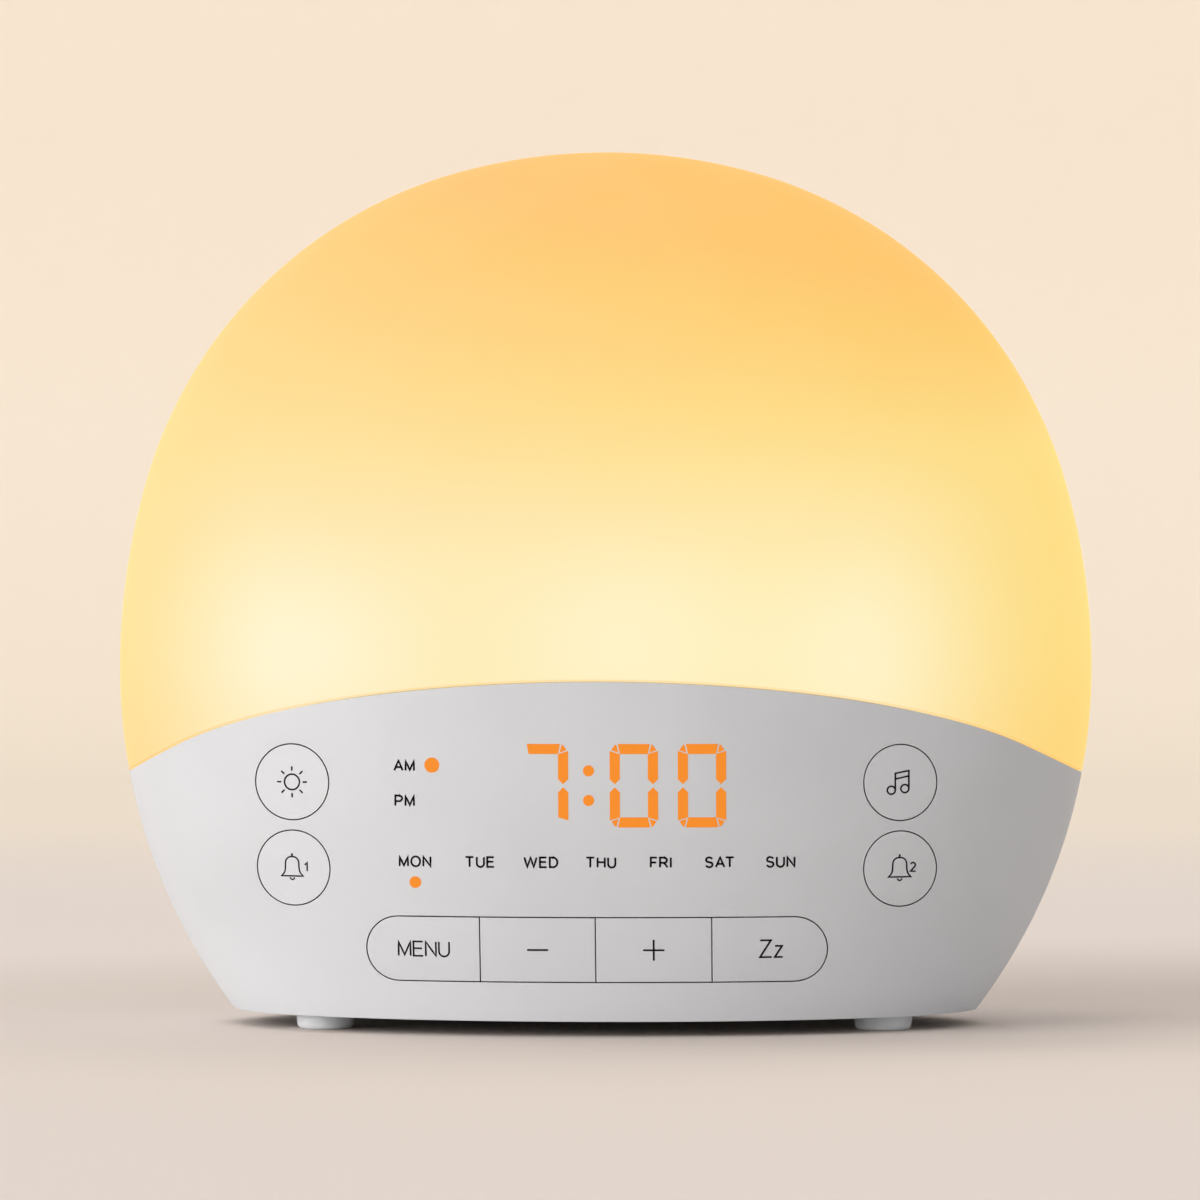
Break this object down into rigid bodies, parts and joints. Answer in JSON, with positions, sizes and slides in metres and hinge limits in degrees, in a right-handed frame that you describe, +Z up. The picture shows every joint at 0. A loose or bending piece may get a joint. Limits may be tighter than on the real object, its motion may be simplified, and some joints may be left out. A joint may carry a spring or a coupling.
{
  "type": "sunrise alarm clock",
  "caption": "Sunrise alarm clock: a glowing flattened-round dome on a pale base with a hidden amber display, round keys, a key bar, a rear speaker grille and a power inlet.",
  "frame": {"origin": "on the table under the middle of the body", "axes": "+X towards the clock's right as its user sees it, -Y towards its front, +Z up"},
  "size_m": [0.2, 0.12, 0.179],
  "materials": {
    "diffuser": "milky, lit from inside",
    "reflector": "white matte",
    "shell": "light grey, fine texture",
    "base": "grey, fine texture",
    "foot": "matte grey",
    "key": "light grey, satin",
    "plunger": "black",
    "switch": "black",
    "circuit_board": "green solder mask",
    "white_board": "white solder mask",
    "lamp_chip": "warm phosphor",
    "light_guide": "clear, lit amber",
    "speaker_frame": "black",
    "speaker_cone": "black paper",
    "magnet": "plated",
    "inlet": "black",
    "contact": "plated",
    "screw": "zinc plated"
  },
  "bodies": {
    "housing": {"diffuser_dome": "diffuser", "reflector_tray": "reflector", "front_fascia": "shell", "rear_shell": "shell", "base_plate": "base", "foot_front_left": "foot", "foot_front_right": "foot", "foot_rear_left": "foot", "foot_rear_right": "foot", "lamp_board": "white_board", "lamp_chips": "lamp_chip", "lamp_screws": "screw", "dome_screws": "screw", "base_screws": "screw", "main_board": "circuit_board", "main_board_screws": "screw", "key_switches": "switch", "display_board": "circuit_board", "display_board_screws": "screw", "display_block": "reflector", "segment_lenses": "light_guide", "day_light_pipe": "light_guide", "half_day_light_pipe": "light_guide", "speaker_frame": "speaker_frame", "speaker_cone": "speaker_cone", "speaker_magnet": "magnet", "speaker_screws": "screw", "power_board": "circuit_board", "power_board_screws": "screw", "power_inlet": "inlet", "inlet_pin": "contact"},
    "key_brightness": {"button_brightness": "key", "plunger_brightness": "plunger"},
    "key_alarm_1": {"button_alarm_1": "key", "plunger_alarm_1": "plunger"},
    "key_sound": {"button_sound": "key", "plunger_sound": "plunger"},
    "key_alarm_2": {"button_alarm_2": "key", "plunger_alarm_2": "plunger"},
    "key_menu": {"button_menu": "key", "plunger_menu": "plunger"},
    "key_minus": {"button_minus": "key", "plunger_minus": "plunger"},
    "key_plus": {"button_plus": "key", "plunger_plus": "plunger"},
    "key_snooze": {"button_snooze": "key", "plunger_snooze": "plunger"}
  },
  "joints": [
    {"name": "press_brightness", "type": "slide", "parent": "housing", "child": "key_brightness", "axis": [0, 1, 0], "range_m": [0, 0.0005], "stiffness_N_per_m": 1200},
    {"name": "press_alarm_1", "type": "slide", "parent": "housing", "child": "key_alarm_1", "axis": [0, 1, 0], "range_m": [0, 0.0005], "stiffness_N_per_m": 1200},
    {"name": "press_sound", "type": "slide", "parent": "housing", "child": "key_sound", "axis": [0, 1, 0], "range_m": [0, 0.0005], "stiffness_N_per_m": 1200},
    {"name": "press_alarm_2", "type": "slide", "parent": "housing", "child": "key_alarm_2", "axis": [0, 1, 0], "range_m": [0, 0.0005], "stiffness_N_per_m": 1200},
    {"name": "press_menu", "type": "slide", "parent": "housing", "child": "key_menu", "axis": [0, 1, 0], "range_m": [0, 0.0005], "stiffness_N_per_m": 1200},
    {"name": "press_minus", "type": "slide", "parent": "housing", "child": "key_minus", "axis": [0, 1, 0], "range_m": [0, 0.0005], "stiffness_N_per_m": 1200},
    {"name": "press_plus", "type": "slide", "parent": "housing", "child": "key_plus", "axis": [0, 1, 0], "range_m": [0, 0.0005], "stiffness_N_per_m": 1200},
    {"name": "press_snooze", "type": "slide", "parent": "housing", "child": "key_snooze", "axis": [0, 1, 0], "range_m": [0, 0.0005], "stiffness_N_per_m": 1200}
  ]
}
